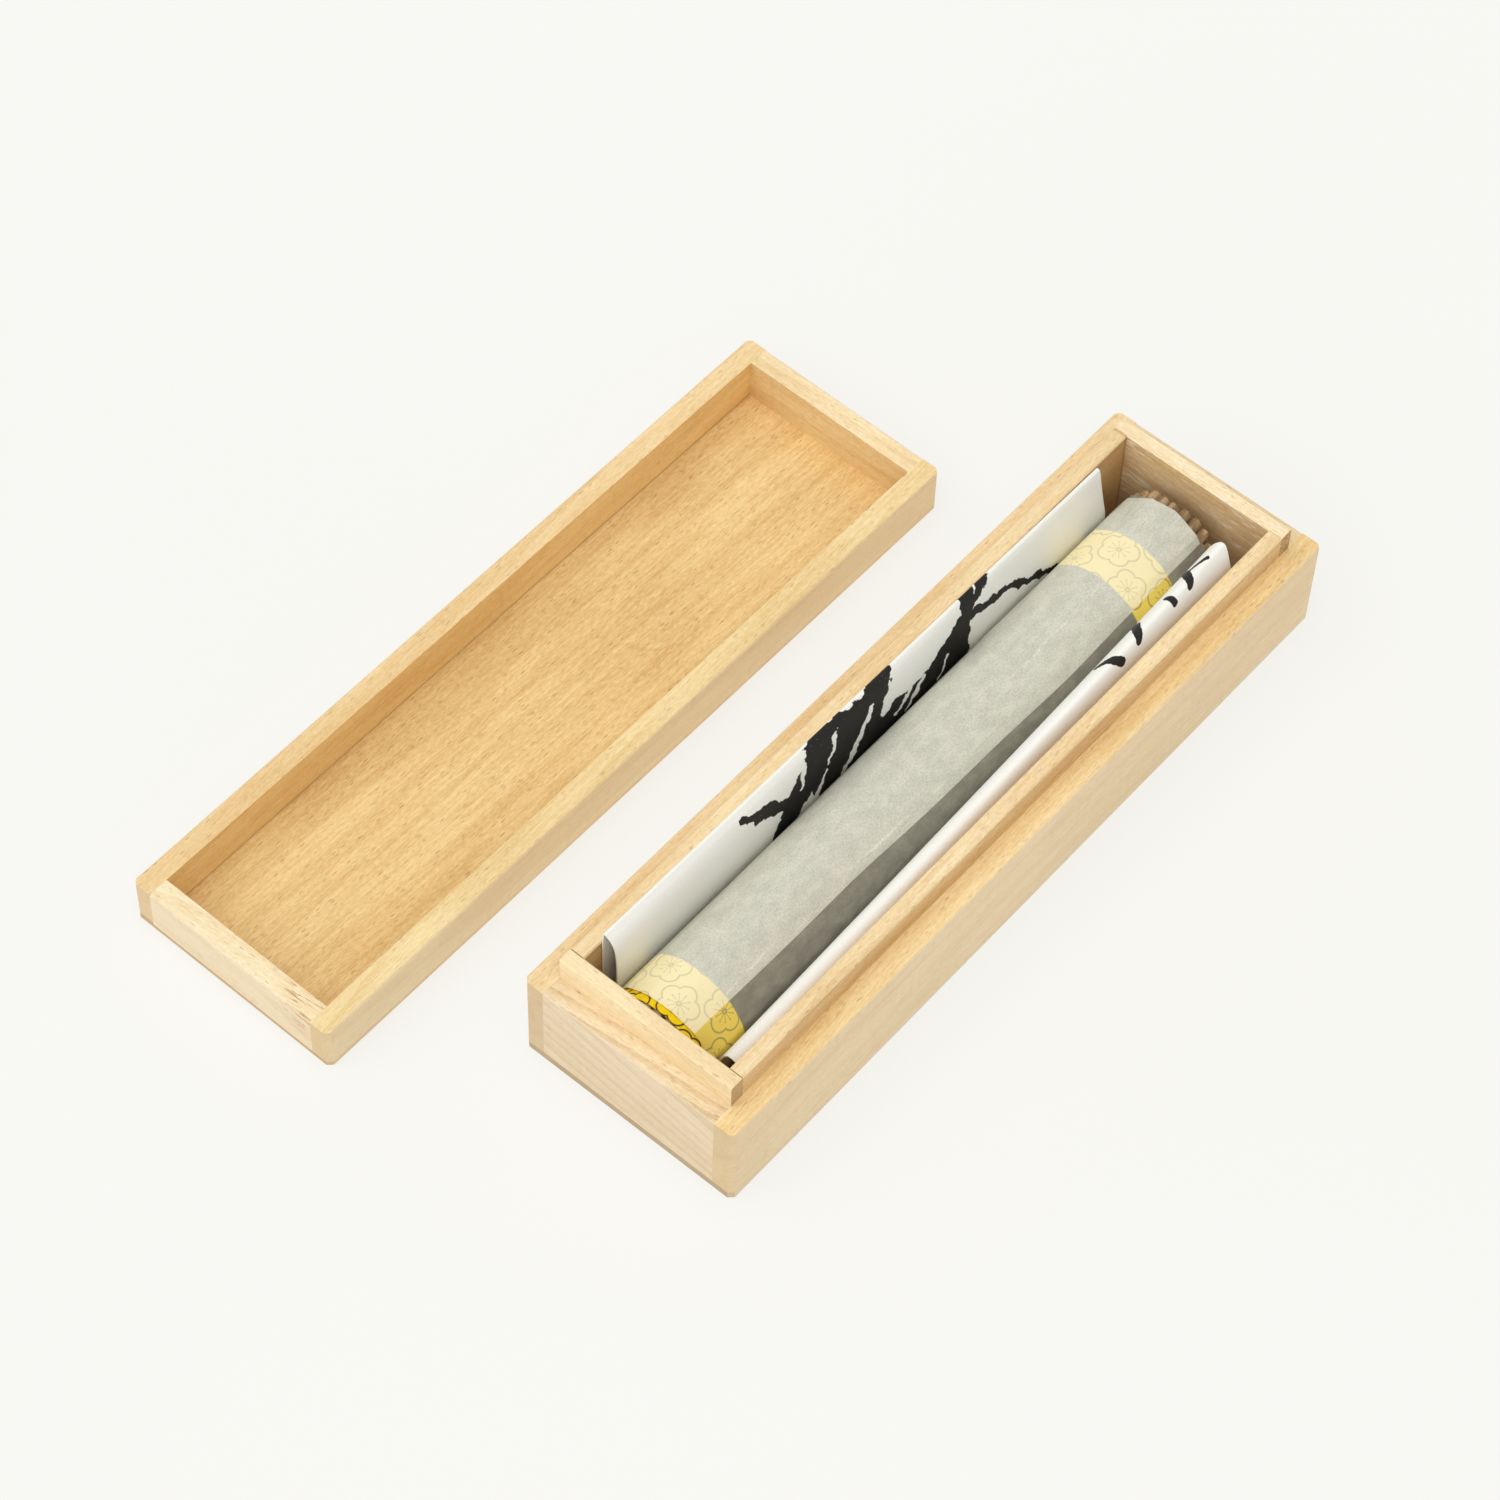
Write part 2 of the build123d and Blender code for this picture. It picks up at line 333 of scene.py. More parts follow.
def board_finish(
    name, along, pith, tilt, pale, deep, out=(), upright=(255, 255, 255), end=(240, 237, 231),
    marks=None, joint=None, **depths
):
    """A material for one board. along is the grain's axis, pith the trunk's middle line in mm from
    the row frame's origin, tilt the two small angles in degrees between board and trunk, out the
    directions in which its outer faces look, which are painted greyer as a cool side light, upright
    the colour that tones the other upright faces as a painted shade, end the colour that tones the
    end grain, marks the (middle, reach, colour) of some scratches, joint the axis and the place in
    mm of a plane along which a dark line shows where boards meet, partly the joint and partly
    painted shade in the gap, and depths the board's own values for USUAL_WOOD, with small letters
    and underlines in their names."""
    material, tree, shader = new_material(name)
    place = add(tree, "TexCoord")
    turn = 90.0 if along == "Y" else 0.0
    mapping = {
        "Vector": place.outputs["Object"],
        "Location": [c * MM for c in pith],
        "Rotation": [math.radians(a) for a in (0.0, tilt[0], turn + tilt[1])],
        "Scale": (MM, MM, MM),
    }
    point = add(tree, "Mapping", mapping, vector_type="TEXTURE").outputs[0]
    grain = (0.0, 1.0, 0.0) if along == "Y" else (1.0, 0.0, 0.0)
    facing = dot(tree, place.outputs["Normal"], grain)
    cross = ease(tree, maths(tree, "ABSOLUTE", facing), 0.55, 0.85)
    inputs = {"Point": point, "Cross Cut": cross, "Pale": colour(*pale), "Deep": colour(*deep)}
    inputs.update({label.replace("_", " ").title(): value for label, value in depths.items()})
    wood = add(tree, "Group", inputs, node_tree=PAULOWNIA)
    outer = 0.0
    for way in out:
        facing = dot(tree, place.outputs["Normal"], way)
        outer = greatest(tree, outer, ease(tree, facing, 0.15, 0.6))
    flat = maths(tree, "ABSOLUTE", split(tree, place.outputs["Normal"])[2])
    inner = minus(tree, ease(tree, flat, 0.3, 0.8, 1.0, 0.0), outer)
    inner = greatest(tree, inner, 0.0)
    # Painted shade: the upright faces that are not outer faces are multiplied by the board's
    # upright colour.
    tone = blend(tree, inner, wood.outputs["Color"], colour(*upright), "MULTIPLY")
    # Painted light: the outer side faces are mixed partly towards a paler grey, a cool side light.
    tone = blend(tree, times(tree, outer, PAINTED_SIDE_SHARE), tone, colour(*PAINTED_SIDE_GREY))
    tone = blend(tree, cross, tone, colour(*end), "MULTIPLY")
    if marks:
        middle, reach, shade = marks
        found = scratches(tree, point, place.outputs["Object"], middle, reach)
        tone = blend(tree, times(tree, found, MARK_SHARE), tone, colour(*shade))
    # Painted shade and joint: a dark line along the joint plane, partly the joint and partly the
    # shade in its gap.
    if joint:
        axis, at = joint
        gap = minus(tree, split(tree, place.outputs["Object"])[axis], at * MM)
        line = ease(tree, maths(tree, "ABSOLUTE", gap), 0.1 * MM, 0.8 * MM, JOINT_AND_GAP_SHARE, 0.0)
        tone = blend(tree, line, tone, colour(*JOINT_AND_GAP_SHADE))
    finish(tree, shader, tone, wood.outputs["Roughness"], 0.35)
    bumped(tree, shader, wood.outputs["Height"], 0.05 * MM)
    return material


def finish_node(node, material):
    """Puts the material on a CAD node, whose mesh stays as it is."""
    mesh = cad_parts[node].data
    mesh.materials.clear()
    mesh.materials.append(material)


CREAM, HONEY, LINING_END = (250, 229, 188), (230, 197, 144), (215, 200, 182)
LEFT, RIGHT, NEAR, FAR = (-1, 0, 0), (1, 0, 0), (0, -1, 0), (0, 1, 0)
LEFT_BOARD, RIGHT_BOARD = (LEFT, NEAR, FAR), (RIGHT, NEAR, FAR)
SIDES_AND_ENDS = (LEFT, RIGHT, NEAR, FAR)
# The upright colours below are painted shade on upright faces, by which way they face.
BOARDS = {
    "lid_panel": dict(
        pith=(-95, 0, 38), tilt=(0.5, -1.6), pale=(241, 209, 149), deep=(216, 174, 108),
        ring_width=3.0, ring_depth=0.2, fibre_depth=0.7, pore_depth=0.55, out=SIDES_AND_ENDS,
        end=(226, 218, 206),
    ),
    "lid_long_wall_left": dict(
        pith=(-104, 10, 30), tilt=(-1.0, 1.2), pale=(246, 217, 165), deep=(226, 188, 126),
        out=LEFT_BOARD, upright=(255, 251, 236), end=(250, 246, 238), joint=(2, 1.25),
    ),
    "lid_long_wall_right": dict(
        pith=(-30, -12, 24), tilt=(0.8, 1.0), pale=(247, 223, 169), deep=(227, 193, 129),
        out=RIGHT_BOARD, upright=(236, 226, 212), end=(246, 240, 228),
    ),
    "lid_short_wall_near": dict(
        pith=(10, -120, 26), tilt=(2.5, 3.0), pale=(252, 236, 198), deep=(236, 205, 150),
        ring_depth=0.3, out=(NEAR,), marks=((-50.0, -101.5, 10.6), 9.0, (196, 146, 88)),
    ),
    "lid_short_wall_far": dict(
        pith=(-10, 20, -22), tilt=(-2.0, 1.5), pale=(253, 231, 188), deep=(232, 199, 142),
        out=(FAR,), upright=(238, 231, 214),
    ),
    "bottom_plate": dict(
        pith=(40, 0, 30), tilt=(0.4, 1.0), pale=CREAM, deep=HONEY, out=SIDES_AND_ENDS,
        end=(206, 202, 196), pore_depth=0.6,
    ),
    "long_wall_left": dict(
        pith=(-52, 5, 34), tilt=(0.6, -1.4), pale=(247, 222, 174), deep=(228, 192, 134),
        out=LEFT_BOARD,
    ),
    "long_wall_right": dict(
        pith=(50, -8, -26), tilt=(1.2, 2.2), pale=(255, 229, 174), deep=(233, 195, 130),
        ring_depth=0.24, out=RIGHT_BOARD,
    ),
    "short_wall_near": dict(
        pith=(-16, -104, 36), tilt=(5.0, 4.0), pale=(240, 220, 184), deep=(208, 175, 124),
        ring_width=2.3, ring_depth=0.5, fibre_depth=0.45, out=(NEAR,),
    ),
    "short_wall_far": dict(
        pith=(14, 110, 30), tilt=(-3.0, 2.0), pale=CREAM, deep=HONEY, out=(FAR,),
    ),
    "long_lining_left": dict(
        pith=(-44, 18, 60), tilt=(0.7, 1.1), pale=(246, 222, 176), deep=(228, 193, 136),
        upright=(226, 210, 190), end=LINING_END, joint=(1, 72.8),
    ),
    "long_lining_right": dict(
        pith=(38, 4, 62), tilt=(-0.8, 1.6), pale=(248, 223, 176), deep=(226, 189, 132),
        upright=(236, 222, 206), end=LINING_END,
    ),
    "short_lining_near": dict(
        pith=(8, -96, 58), tilt=(1.5, -2.0), pale=(252, 231, 187), deep=(234, 201, 147),
        ring_depth=0.22, fibre_depth=0.5, end=LINING_END,
    ),
    "short_lining_far": dict(
        pith=(-12, 92, 64), tilt=(2.5, 1.5), pale=(255, 238, 200), deep=(235, 203, 152),
        upright=(236, 222, 202), end=LINING_END, marks=((0.0, 72.8, 20.0), 30.0, (255, 240, 214)),
    ),
}
for node, choice in BOARDS.items():
    along = "X" if "short" in node else "Y"
    finish_node(node, board_finish("wood_" + node, along, **choice))
print("boards finished:", len(BOARDS))

# %% [markdown]
# ## Where the bundle lies
# The CAD sticks tell where the bundle's axis is and how thick a stick is: the middle stick gives
# the axis, and the first stick of the outer ring, four pitches away, gives the spacing.


# %% Measure the bundle in the frame
def middle_of(node):
    """The middle of a CAD node's box, in metres."""
    low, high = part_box(node)
    return np.array((low + high) / 2)


RINGS = (6, 12, 18, 24)
OUTER = len(RINGS)
stick_low, stick_high = (np.array(c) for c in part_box("stick_middle"))
AXIS = middle_of("stick_middle")
STICK_RADIUS = float(stick_high[0] - stick_low[0]) / 2
outer_reach = np.linalg.norm((middle_of("outer_stick_24") - AXIS)[[0, 2]])
PITCH = float(outer_reach) / OUTER
STICKS_RADIUS = float(outer_reach) + STICK_RADIUS
print("axis (mm):", AXIS.round(5) * 1000, "pitch (mm):", round(PITCH * 1000, 3))

# %% [markdown]
# ## Meshes from numpy
# A thin sheet is a grid of points with a thickness. The grid gives its middle, the cross product
# of the two directions along it gives its normal, and the sheet's two faces lie half a thickness
# to either side, closed by a rim. Each point also keeps its place on the flat sheet, before it
# was rolled or folded, so that a print can follow the paper.


# %% Helpers for meshes
def put_in_scene(name, points, faces, material, places=None, smooth_below=40.0):
    """A mesh object from arrays. places, one vector per point, become the attribute flat_place."""
    mesh = bpy.data.meshes.new(name)
    mesh.from_pydata(points, [], faces)
    mesh.shade_smooth()
    mesh.set_sharp_from_angle(angle=math.radians(smooth_below))
    if places is not None:
        kept = mesh.attributes.new("flat_place", "FLOAT_VECTOR", "POINT")
        kept.data.foreach_set("vector", np.asarray(places, np.float32).ravel())
    mesh.materials.append(material)
    mesh.validate()
    made = bpy.data.objects.new(name, mesh)
    bpy.context.scene.collection.objects.link(made)
    print(name, "points:", len(mesh.vertices), "faces:", len(mesh.polygons))
    return made


def quads(index):
    """The faces of a grid of point numbers."""
    corners = (index[:-1, :-1], index[1:, :-1], index[1:, 1:], index[:-1, 1:])
    return np.stack(corners, -1).reshape(-1, 4)


def thin_sheet(name, middle, places, thickness, material):
    """A closed sheet. Faces at middle +- n * thickness / 2, n = d(middle)/di x d(middle)/dj."""
    normal = np.cross(np.gradient(middle, axis=0), np.gradient(middle, axis=1))
    normal /= np.linalg.norm(normal, axis=-1, keepdims=True)
    half = normal * thickness / 2
    points = np.concatenate([(middle + half).reshape(-1, 3), (middle - half).reshape(-1, 3)])
    rows, columns = middle.shape[:2]
    count = rows * columns
    index = np.arange(count).reshape(rows, columns)
    loop = np.concatenate([index[:-1, 0], index[-1, :-1], index[:0:-1, -1], index[0, :0:-1]])
    after = np.roll(loop, -1)
    rim = np.stack([after, loop, loop + count, after + count], -1)
    faces = np.concatenate([quads(index), quads(index)[:, ::-1] + count, rim])
    flat = places.reshape(-1, 3)
    return put_in_scene(name, points, faces.tolist(), material, np.concatenate([flat, flat]))


# %% [markdown]
# ## The incense
# Short incense sticks are extruded paste, dried: matt brown, slightly crooked, cut to uneven
# lengths, with crumbly ends. One closed tube per stick, all in one mesh, with small differences
# in length and straightness, shows as a ragged row of tips beyond the paper.


# %% Incense finish
def incense_finish():
    """Brown paste: two browns by coarse noise, dark specks by fine noise, fully rough."""
    material, tree, shader = new_material("incense_paste")
    place = add(tree, "TexCoord").outputs["Object"]
    coarse = noise(tree, stretch(tree, place, (900.0, 300.0, 900.0)), 1.0, 3.0)
    fine = noise(tree, place, 5200.0, 2.0, 0.6)
    shade = blend(tree, ease(tree, coarse, 0.35, 0.65), colour(146, 119, 88), colour(194, 165, 126))
    shade = blend(tree, ease(tree, fine, 0.58, 0.72), shade, colour(106, 84, 60))
    finish(tree, shader, shade, 0.92, 0.15)
    height = plus(tree, times(tree, coarse, 0.5), times(tree, fine, 0.5))
    bumped(tree, shader, height, 0.12 * MM)
    return material


# %% Sixty-one sticks in one mesh
SIDES = 14
END_STATIONS = (0.0, 0.0012, 0.004)
END_WIDTHS = (0.9, 0.98, 1.0)
MIDDLE_STATIONS = 7
# Uneven cuts in mm: the spread to either side, and how far the tips lie towards the far end. No
# tip stands out at the near end by more than NEAR_LIMIT.
NEAR_CUT, FAR_CUT, NEAR_LIMIT = (0.35, 0.1), (0.45, 0.25), 0.5
BOW, SLANT, LUMP = 0.03, 0.25, 0.03


def stick_centres():
    """Ring k holds 6k sticks at radius k * pitch, at angles 2 pi (j + k / 2) / count."""
    middles = [np.zeros((1, 2))]
    for ring, count in enumerate(RINGS, start=1):
        angle = 2 * np.pi / count * (np.arange(count) + ring / 2)
        middles.append(ring * PITCH * np.stack([np.cos(angle), np.sin(angle)], -1))
    return np.concatenate(middles)


def incense_sticks(material):
    """r(t) = radius * width at t, less at both ends; axis = centre + bow * sin(2 pi t + phase)."""
    centres = stick_centres()
    total = len(centres)
    draw = np.random.default_rng(61)
    cut = draw.uniform(-1.0, 1.0, (2, total))
    near = stick_low[1] + (cut[0] * NEAR_CUT[0] + NEAR_CUT[1]) * MM
    far = stick_high[1] + (cut[1] * FAR_CUT[0] + FAR_CUT[1]) * MM
    first = np.array(END_STATIONS)
    t = np.concatenate([first, np.linspace(0.02, 0.98, MIDDLE_STATIONS), 1 - first[::-1]])
    rounding = np.interp(np.minimum(t, 1 - t), END_STATIONS, END_WIDTHS)
    bow = draw.uniform(0.0, BOW, (2, total)) * MM
    phase = draw.uniform(0.0, 2 * np.pi, (2, total))
    sway = bow[:, :, None] * np.sin(2 * np.pi * t + phase[:, :, None])
    angle = 2 * np.pi * np.arange(SIDES) / SIDES
    lump = 1.0 - LUMP * draw.random((total, len(t), SIDES))
    reach = STICK_RADIUS * rounding[None, :, None] * lump
    shape = (total, len(t), SIDES)
    x = AXIS[0] + centres[:, 0, None, None] + sway[0][:, :, None] + reach * np.cos(angle)
    z = AXIS[2] + centres[:, 1, None, None] + sway[1][:, :, None] + reach * np.sin(angle)
    y = near[:, None, None] + (far - near)[:, None, None] * t[None, :, None]
    slant = draw.uniform(-SLANT, SLANT, (total, 1, 1)) * MM
    slant = slant * np.cos(angle + phase[0][:, None, None])
    ends = (np.abs(2 * t - 1) ** 40)[None, :, None]
    y = np.clip(np.broadcast_to(y + slant * ends, shape), stick_low[1] - NEAR_LIMIT * MM, None)
    points = np.stack([np.broadcast_to(x, shape), y, np.broadcast_to(z, shape)], -1).reshape(-1, 3)
    index = np.arange(total * len(t) * SIDES).reshape(shape)
    around = np.concatenate([index, index[:, :, :1]], axis=2)
    a, b = around[:, :-1, :-1], around[:, 1:, :-1]
    c, d = around[:, 1:, 1:], around[:, :-1, 1:]
    walls = np.stack([a, b, c, d], -1).reshape(-1, 4)
    caps = [*index[:, 0].tolist(), *index[:, -1, ::-1].tolist()]
    return put_in_scene("incense_sticks", points, [*walls.tolist(), *caps], material)


sticks = incense_sticks(incense_finish())
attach(sticks, "bundle")
stick_nodes = [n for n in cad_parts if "stick" in n]
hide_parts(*stick_nodes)
print("sticks stand for", len(stick_nodes), "CAD nodes")

# %% [markdown]
# ## A printed blossom
# The bands carry scattered blossoms, drawn as one brown line round five petals with plain
# stamens inside. Folding the angle round the centre into one fifth turns five petals into one
# circle, so the outline is a distance to that circle. Two lattices, one moved by half a step
# both ways, scatter the blossoms without any of them being cut where cells meet.


# %% The blossom print as a node group
ROW_STEP = 10.4
COLUMN_STEP = 12.2
PETAL_REACH, PETAL_RADIUS = 2.0, 1.7
LINE_HALF = 0.16
PETALS = 5
STAMEN_HALF, STAMEN_START, STAMEN_TIP = 0.08, 0.45, 1.8


def fold_angle(tree, x, y, parts):
    """(x, y) turned into the first of that many equal sectors about the x axis, as (x', y')."""
    sector = 2 * math.pi / parts
    angle = maths(tree, "ARCTAN2", y, x)
    angle = maths(tree, "PINGPONG", plus(tree, angle, 2 * math.pi), sector / 2)
    reach = length(tree, join(tree, x, y))
    cosine, sine = maths(tree, "COSINE", angle), maths(tree, "SINE", angle)
    return times(tree, reach, cosine), times(tree, reach, sine), reach


def near_line(tree, distance, half):
    """1 on the line, 0 past its edge, from a distance in mm."""
    return ease(tree, maths(tree, "ABSOLUTE", distance), half * 0.6, half * 1.4, 1.0, 0.0)


def blossom_group():
    """Ink at (along, around) in mm from a blossom's centre, turned by an angle.
    petals: | |P' - (reach, 0)| - radius | < half a line; stamens: |y'| small from start to tip,
    with a dot at the tip of each and a ring round the middle."""
    rows = [(label, "Float") for label in ("Along", "Around", "Turn")]
    tree, given, out = new_group("blossom", rows, [("Ink", "Float")])
    place = join(tree, given.outputs[0], given.outputs[1])
    inputs = {"Vector": place, "Angle": given.outputs[2]}
    turned = add(tree, "VectorRotate", inputs, rotation_type="Z_AXIS")
    x, y, _ = split(tree, turned.outputs[0])
    px, py, reach = fold_angle(tree, x, y, PETALS)
    gap = length(tree, join(tree, minus(tree, px, PETAL_REACH), py))
    outline = near_line(tree, minus(tree, gap, PETAL_RADIUS), LINE_HALF)
    sx, sy, _ = fold_angle(tree, x, y, 2 * PETALS)
    stalk = times(tree, near_line(tree, sy, STAMEN_HALF), ease(tree, reach, STAMEN_START, 0.6))
    stalk = times(tree, stalk, ease(tree, reach, 1.65, STAMEN_TIP, 1.0, 0.0))
    tip = length(tree, join(tree, minus(tree, sx, STAMEN_TIP), sy))
    ink = greatest(tree, stalk, ease(tree, tip, 0.12, 0.24, 1.0, 0.0))
    ring = near_line(tree, minus(tree, reach, STAMEN_START), STAMEN_HALF)
    ink = greatest(tree, times(tree, greatest(tree, ink, ring), 0.8), outline)
    feed(tree, out.inputs["Ink"], ink)
    return tree


BLOSSOM = blossom_group()
SEAM_DEGREES = -96
ROUND_MM = 2 * math.pi * STICKS_RADIUS / MM
NEAR_START, FAR_START = (-67.8, 14.3), (53.8, 17.2)
CELL_TURN = 2.3


def within_one_turn(tree, around):
    """The same place round the roll, from the seam to one turn past it, whatever the lap."""
    seam = math.radians(SEAM_DEGREES) * STICKS_RADIUS / MM
    wrapped = add(tree, "Math", {0: around, 1: seam + ROUND_MM, 2: seam}, operation="WRAP")
    return wrapped.outputs[0]


def scattered_blossoms(tree, along, around):
    """Ink of both lattices, whose cells are ROW_STEP by COLUMN_STEP with a blossom in each middle.
    Each band is cut from the printed sheet at its own place, START along and around in mm."""
    far = maths(tree, "GREATER_THAN", along, 0.0)
    start = [ease(tree, far, 0.0, 1.0, *pair) for pair in zip(NEAR_START, FAR_START)]
    along = minus(tree, along, start[0])
    around = minus(tree, around, start[1])
    inks = []
    for shift in (0.5, 0.0):
        row = plus(tree, maths(tree, "DIVIDE", along, ROW_STEP), shift)
        column = plus(tree, maths(tree, "DIVIDE", around, COLUMN_STEP), shift)
        dx = times(tree, minus(tree, maths(tree, "FRACT", row), 0.5), ROW_STEP)
        dy = times(tree, minus(tree, maths(tree, "FRACT", column), 0.5), COLUMN_STEP)
        cell = plus(tree, maths(tree, "FLOOR", row), maths(tree, "FLOOR", column))
        inputs = {"Along": dx, "Around": dy, "Turn": times(tree, cell, CELL_TURN)}
        inks.append(add(tree, "Group", inputs, node_tree=BLOSSOM).outputs["Ink"])
    return greatest(tree, *inks)


# %% [markdown]
# ## Yellow paper bands
# Two strips of yellow printed paper hold the sticks together near the ends. Each is one turn of
# paper that meets itself underneath. The surface is a cylinder that dips a little between the
# sticks, since the paper is pulled tight over them.

# %% Make the bands
BAND_THICK = 0.1 * MM
BAND_RADIUS = STICKS_RADIUS + 0.08 * MM
BAND_GRID = (9, 145)
SINK = 0.02 * MM
SEAM = math.radians(SEAM_DEGREES)
BAND_ENDS = 0.001, 2 * np.pi - 0.004
YELLOW, INK_BROWN = colour(255, 226, 6), colour(84, 58, 26)


def flat_place(tree):
    """The vector kept with each point: its place on the flat sheet, and one more number."""
    found = add(tree, "Attribute", attribute_name="flat_place", attribute_type="GEOMETRY")
    return found.outputs["Vector"]


def over_sticks(angle, dip):
    """How far paper sinks between the outer sticks: dip * (1 - cos(24 angle)) / 2."""
    return dip * (1 - np.cos(RINGS[-1] * (angle - np.pi / 12 * OUTER / 2))) / 2


def band_finish():
    """Yellow paper with brown blossoms, mottled a little, with a fine fibre bump."""
    material, tree, shader = new_material("yellow_band_paper")
    place = flat_place(tree)
    along, around, _ = split(tree, place)
    around = within_one_turn(tree, around)
    mottle = noise(tree, place, 1.2, 3.0)
    shade = blend(tree, ease(tree, mottle, 0.3, 0.7), YELLOW, colour(255, 212, 0))
    ink = scattered_blossoms(tree, along, around)
    shade = blend(tree, times(tree, ink, 0.95), shade, INK_BROWN)
    finish(tree, shader, shade, ease(tree, mottle, 0.2, 0.8, 0.5, 0.66), 0.2)
    bumped(tree, shader, noise(tree, place, 5.0, 3.0), 0.02 * MM)
    return material


def paper_band(node, material):
    """x, z = axis + (R - dip(a)) (cos a, sin a), a one turn from the seam; y over the node."""
    low, high = (np.array(c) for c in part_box(node))
    angle = SEAM + np.linspace(*BAND_ENDS, BAND_GRID[1])
    y = np.linspace(low[1], high[1], BAND_GRID[0])
    grid_y, grid_a = np.meshgrid(y, angle, indexing="ij")
    radius = BAND_RADIUS - over_sticks(grid_a, SINK)
    x = AXIS[0] + radius * np.cos(grid_a)
    z = AXIS[2] + radius * np.sin(grid_a)
    places = np.stack([grid_y / MM, grid_a * STICKS_RADIUS / MM, grid_a * 0], -1)
    middle = np.stack([x, grid_y, z], -1)[:, ::-1]
    made = thin_sheet(node + "_paper", middle, places[:, ::-1], BAND_THICK, material)
    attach(made, "bundle")
    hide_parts(node)
    return made


band_material = band_finish()
bands = [paper_band(node, band_material) for node in ("paper_band_near", "paper_band_far")]

# %% [markdown]
# ## Tissue
# Thin grey-white tissue is rolled round the sticks about one and a half times. Where two layers
# lie on each other it looks pale and hides the sticks, and where one layer covers them they show
# through as a darker strip, so its colour depends on how many laps lie under a point. The bands
# show through it too. Stiff tissue does not bend evenly: it lies in flats that meet in soft
# edges, most of all at its free ends, so the spiral's radius is that of a few tangent planes.

# %% Tissue finish
TISSUE_THICK = 0.06 * MM
LAP_EDGE = math.radians(48)
LAP_SPAN = math.radians(195)
TISSUE_GRID = (90, 371)
TISSUE_RISE, LAP_RISE = 0.26 * MM, 0.09 * MM


def between(tree, value, low, high, soft):
    """1 between low and high, with edges that fade over soft."""
    rise = ease(tree, value, low - soft, low + soft)
    return times(tree, rise, ease(tree, value, high - soft, high + soft, 1.0, 0.0))


CREASE_LINES = ((60.0, 0.04, -66, -48), (63.0, -0.03, -28, -2), (84.0, 0.03, 20, 44))


def crease_lines(tree, along, around, breakup):
    """Pale hairlines of old folds: around = start + slope * along, from low to high."""
    marks = 0.0
    for start, slope, low, high in CREASE_LINES:
        line = times(tree, along, slope)
        line = plus(tree, line, math.radians(start) * STICKS_RADIUS / MM - slope * low)
        gap = plus(tree, minus(tree, around, line), times(tree, breakup, 1.6))
        mark = times(tree, near_line(tree, gap, 0.2), between(tree, along, low, high, 3.0))
        marks = greatest(tree, marks, mark)
    return times(tree, marks, ease(tree, breakup, 0.42, 0.58, 0.05, 0.6))


def tissue_finish():
    """grey = mix(one layer, two layers). The bands show through by how much lies over them."""
    material, tree, shader = new_material("grey_tissue")
    place = flat_place(tree)
    along, around, laps = split(tree, place)
    around = within_one_turn(tree, around)
    two = ease(tree, laps, 0.995, 1.005)
    flat = stretch(tree, place, (1.0, 1.0, 0.0))
    cloud = noise(tree, stretch(tree, flat, (0.6, 1.0, 0.0)), 0.42, 5.0, 0.65)
    speck = noise(tree, flat, 2.6, 3.0, 0.7)
    tint = noise(tree, vectors(tree, "ADD", flat, (40.0, 7.0, 0.0)), 0.9, 3.0, 0.6)
    single = blend(tree, ease(tree, cloud, 0.3, 0.7), colour(134, 131, 118), colour(158, 155, 140))
    double = blend(tree, ease(tree, cloud, 0.3, 0.7), colour(205, 206, 191), colour(224, 224, 207))
    double = blend(tree, ease(tree, tint, 0.5, 0.68, 0.0, 0.6), double, colour(220, 211, 200))
    double = blend(tree, crease_lines(tree, along, around, cloud), double, colour(244, 244, 232))
    paper = blend(tree, two, single, double)
    paper = blend(tree, ease(tree, speck, 0.35, 0.7, 0.0, 0.27), paper, colour(120, 116, 104))
    # The bands below, paler and less inky where two layers lie over them.
    under = 0.0
    for node in ("paper_band_near", "paper_band_far"):
        low, high = (c[1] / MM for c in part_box(node))
        under = greatest(tree, under, between(tree, along, low, high, 0.18))
    veiled = blend(tree, two, colour(246, 220, 96), colour(252, 239, 190))
    ink = scattered_blossoms(tree, along, around)
    ink = times(tree, ink, ease(tree, laps, 0.995, 1.005, 0.62, 0.28))
    veiled = blend(tree, ink, veiled, colour(120, 112, 96))
    petal_haze = blend(tree, ease(tree, speck, 0.3, 0.7, 0.0, 0.12), veiled, colour(214, 208, 182))
    shade = blend(tree, under, paper, petal_haze)
    finish(tree, shader, shade, ease(tree, speck, 0.2, 0.8, 0.62, 0.8), 0.3)
    relief = plus(tree, times(tree, cloud, 0.7), times(tree, speck, 0.3))
    bumped(tree, shader, relief, 0.06 * MM)
    return material


# %% Roll the tissue
FOLDS = (-96, -66, -38, -8, 22, 52, 85, 110, 141, 172, 202, 233, 264)
# Shares of the length, and there: the free edge's angle in degrees, and how flat the flats lie.
EDGE_ALONG = (0.0, 0.3, 0.5, 0.72, 1.0), (50.5, 48.5, 44.5, 41.5, 45.0)
FREE_ALONG = (0.0, 0.08, 0.3, 0.75, 0.9, 1.0), (0.6, 0.4, 0.3, 0.3, 0.6, 0.9)


def flats(degrees):
    """1 / cos(a - middle of the flat) - 1, which lifts an arc to the plane that touches it."""
    turned = (degrees - FOLDS[0]) % 360 + FOLDS[0]
    edges = np.array(FOLDS)
    at = np.clip(np.searchsorted(edges, turned, side="right") - 1, 0, len(FOLDS) - 2)
    return 1 / np.cos(np.radians(turned - (edges[at] + edges[at + 1]) / 2)) - 1


